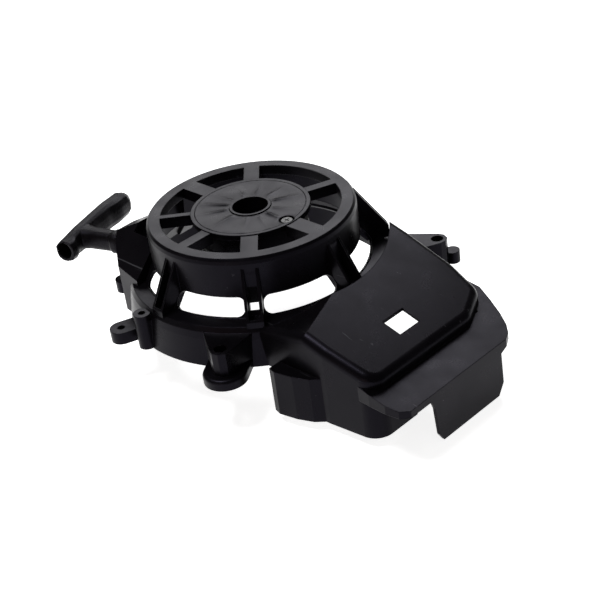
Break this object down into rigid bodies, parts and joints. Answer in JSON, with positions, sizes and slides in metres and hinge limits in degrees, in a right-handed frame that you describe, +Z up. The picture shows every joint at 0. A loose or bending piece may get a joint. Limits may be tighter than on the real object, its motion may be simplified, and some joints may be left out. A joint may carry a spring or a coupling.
{
  "type": "recoil starter",
  "caption": "Hand recoil starter built into a black blower housing, with a rope pulley, pawls, a T grip and a hood over the cylinder.",
  "frame": {"origin": "crank axis at the plane of the bowl's rim, where the housing meets the engine", "axes": "+Z up along the crank axis away from the engine; +X to the far end of the hood over the cylinder"},
  "size_m": [0.415, 0.2643, 0.1264],
  "materials": {
    "housing": "black moulded nylon, satin",
    "grip": "black moulded nylon with a fine leather grain",
    "pulley_nylon": "dark glass-filled nylon",
    "spring_steel": "blued spring steel",
    "zinc_steel": "zinc plated",
    "bright_steel": "bright steel",
    "dark_screw": "black oxide",
    "pawl_steel": "hardened steel, grey",
    "rope": "braided nylon cord, black"
  },
  "bodies": {
    "housing": {"blower_housing": "housing", "recoil_spring": "spring_steel", "spring_cover": "zinc_steel", "cover_screws": "zinc_steel", "spring_anchor_screw": "dark_screw", "pivot_bushing": "bright_steel", "hub_clip": "bright_steel", "rope_run": "rope", "rope_eyelet": "bright_steel", "centre_screw": "zinc_steel", "hub_washer": "zinc_steel", "brake_spring": "spring_steel"},
    "pulley": {"rope_pulley": "pulley_nylon", "rope_wound": "rope", "rope_knot_pulley": "rope", "pawl_pins": "bright_steel", "pawl_springs": "spring_steel"},
    "pawl_a": {"pawl_1": "pawl_steel"},
    "pawl_b": {"pawl_2": "pawl_steel"},
    "guide": {"pawl_guide": "pulley_nylon"},
    "handle": {"handle_grip": "grip", "rope_lead": "rope", "rope_knot_handle": "rope", "knot_washer": "zinc_steel"}
  },
  "joints": [
    {"name": "handle_pull", "type": "slide", "parent": "housing", "child": "handle", "axis": [-0.9563, -0.2924, 0], "range_m": [0, 0.9], "stiffness_N_per_m": 12, "springref_m": -0.4},
    {"name": "pulley_spin", "type": "hinge", "parent": "housing", "child": "pulley", "pos_m": [0, 0, 0.055], "axis": [0, 0, 1], "range_deg": [-1250, 0]},
    {"name": "guide_lag", "type": "hinge", "parent": "pulley", "child": "guide", "pos_m": [0, 0, 0.043], "axis": [0, 0, 1], "range_deg": [-25, 0]},
    {"name": "pawl_1_swing", "type": "hinge", "parent": "pulley", "child": "pawl_a", "pos_m": [0.0255, 0, 0.0475], "axis": [0, 0, 1], "range_deg": [-30, 0]},
    {"name": "pawl_2_swing", "type": "hinge", "parent": "pulley", "child": "pawl_b", "pos_m": [-0.0255, 0, 0.0475], "axis": [0, 0, 1], "range_deg": [-30, 0]}
  ],
  "couplings": [
    {"joint": "pulley_spin", "follows": "handle_pull", "rad_per_m": -24.096},
    {"joint": "pawl_1_swing", "follows": "guide_lag", "ratio": 1.2},
    {"joint": "pawl_2_swing", "follows": "guide_lag", "ratio": 1.2}
  ]
}
